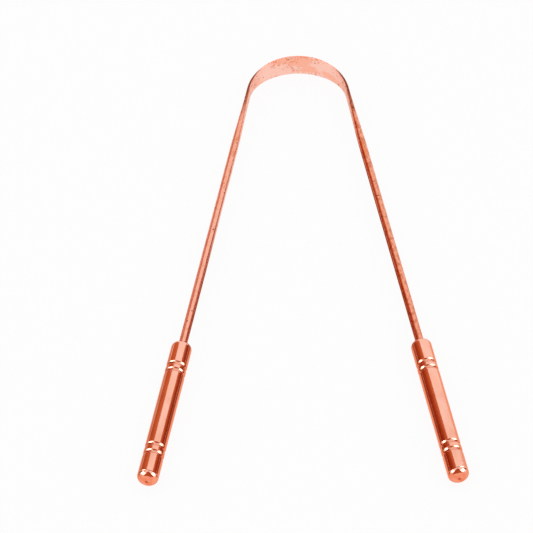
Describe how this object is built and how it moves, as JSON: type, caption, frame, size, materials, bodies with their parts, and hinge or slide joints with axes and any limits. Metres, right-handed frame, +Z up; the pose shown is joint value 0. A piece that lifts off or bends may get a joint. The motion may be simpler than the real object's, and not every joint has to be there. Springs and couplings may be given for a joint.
{
  "type": "tongue scraper",
  "caption": "U-shaped copper tongue scraper: a wire flattened at its bend into a thin scraping band, with round grooved handles on its springy arms.",
  "frame": {"origin": "on the surface that the scraper lies on, under the middle of its overall length and width", "axes": "+Z up, away from that surface; +Y along the line of symmetry, from the handles to the bend; +X to the right of someone who holds the handles"},
  "size_m": [0.0844, 0.1572, 0.0067],
  "materials": {
    "blade_copper": "drawn and pressed copper, lightly polished",
    "handle_copper": "turned copper, polished",
    "inner_copper": "turned copper, as cut",
    "braze": "copper braze, smooth"
  },
  "bodies": {
    "blade": {"scraper_blade": "blade_copper"},
    "left_handle": {"left_handle_sleeve": "handle_copper", "left_wire_bush": "inner_copper", "left_end_plug": "handle_copper", "left_braze_fillet": "braze"},
    "right_handle": {"right_handle_sleeve": "handle_copper", "right_wire_bush": "inner_copper", "right_end_plug": "handle_copper", "right_braze_fillet": "braze"}
  },
  "joints": [
    {"name": "left_flex", "type": "hinge", "parent": "blade", "child": "left_handle", "pos_m": [-0.01418, 0.06645, 0.00336], "axis": [0, 0, 1], "range_deg": [-7, 7], "stiffness_Nm_per_rad": 0.472, "deforming": ["scraper_blade"]},
    {"name": "right_flex", "type": "hinge", "parent": "blade", "child": "right_handle", "pos_m": [0.01418, 0.06645, 0.00336], "axis": [0, 0, -1], "range_deg": [-7, 7], "stiffness_Nm_per_rad": 0.472, "deforming": ["scraper_blade"]}
  ]
}
